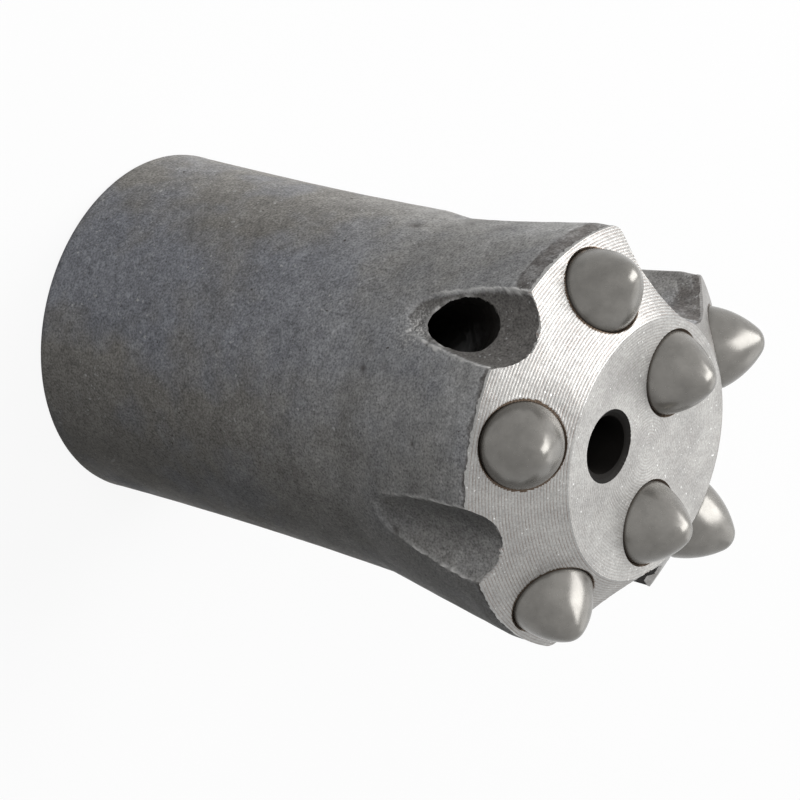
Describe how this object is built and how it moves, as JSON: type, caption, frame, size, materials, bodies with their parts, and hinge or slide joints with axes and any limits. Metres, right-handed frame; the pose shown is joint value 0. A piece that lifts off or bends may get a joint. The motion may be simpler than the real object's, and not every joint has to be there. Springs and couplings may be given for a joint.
{
  "type": "button drill bit",
  "caption": "Tapered button drill bit: flared steel body with chip flutes, flushing holes and bullet-shaped carbide buttons on its cone and flat face.",
  "frame": {"origin": "centre of the skirt's flat end, at the mouth of the rod socket", "axes": "+Z along the bit's axis from the skirt end to the front face; +X towards the gauge button nearest the face hole"},
  "size_m": [0.0364, 0.0361, 0.0602],
  "materials": {
    "body_steel": "grey heat-treated forging steel with bright turned cone and face",
    "carbide": "satin sintered tungsten carbide"
  },
  "bodies": {
    "root": {"bit_body": "body_steel", "gauge_button_1": "carbide", "gauge_button_2": "carbide", "gauge_button_3": "carbide", "gauge_button_4": "carbide", "gauge_button_5": "carbide", "face_button_1": "carbide", "face_button_2": "carbide"}
  },
  "joints": []
}
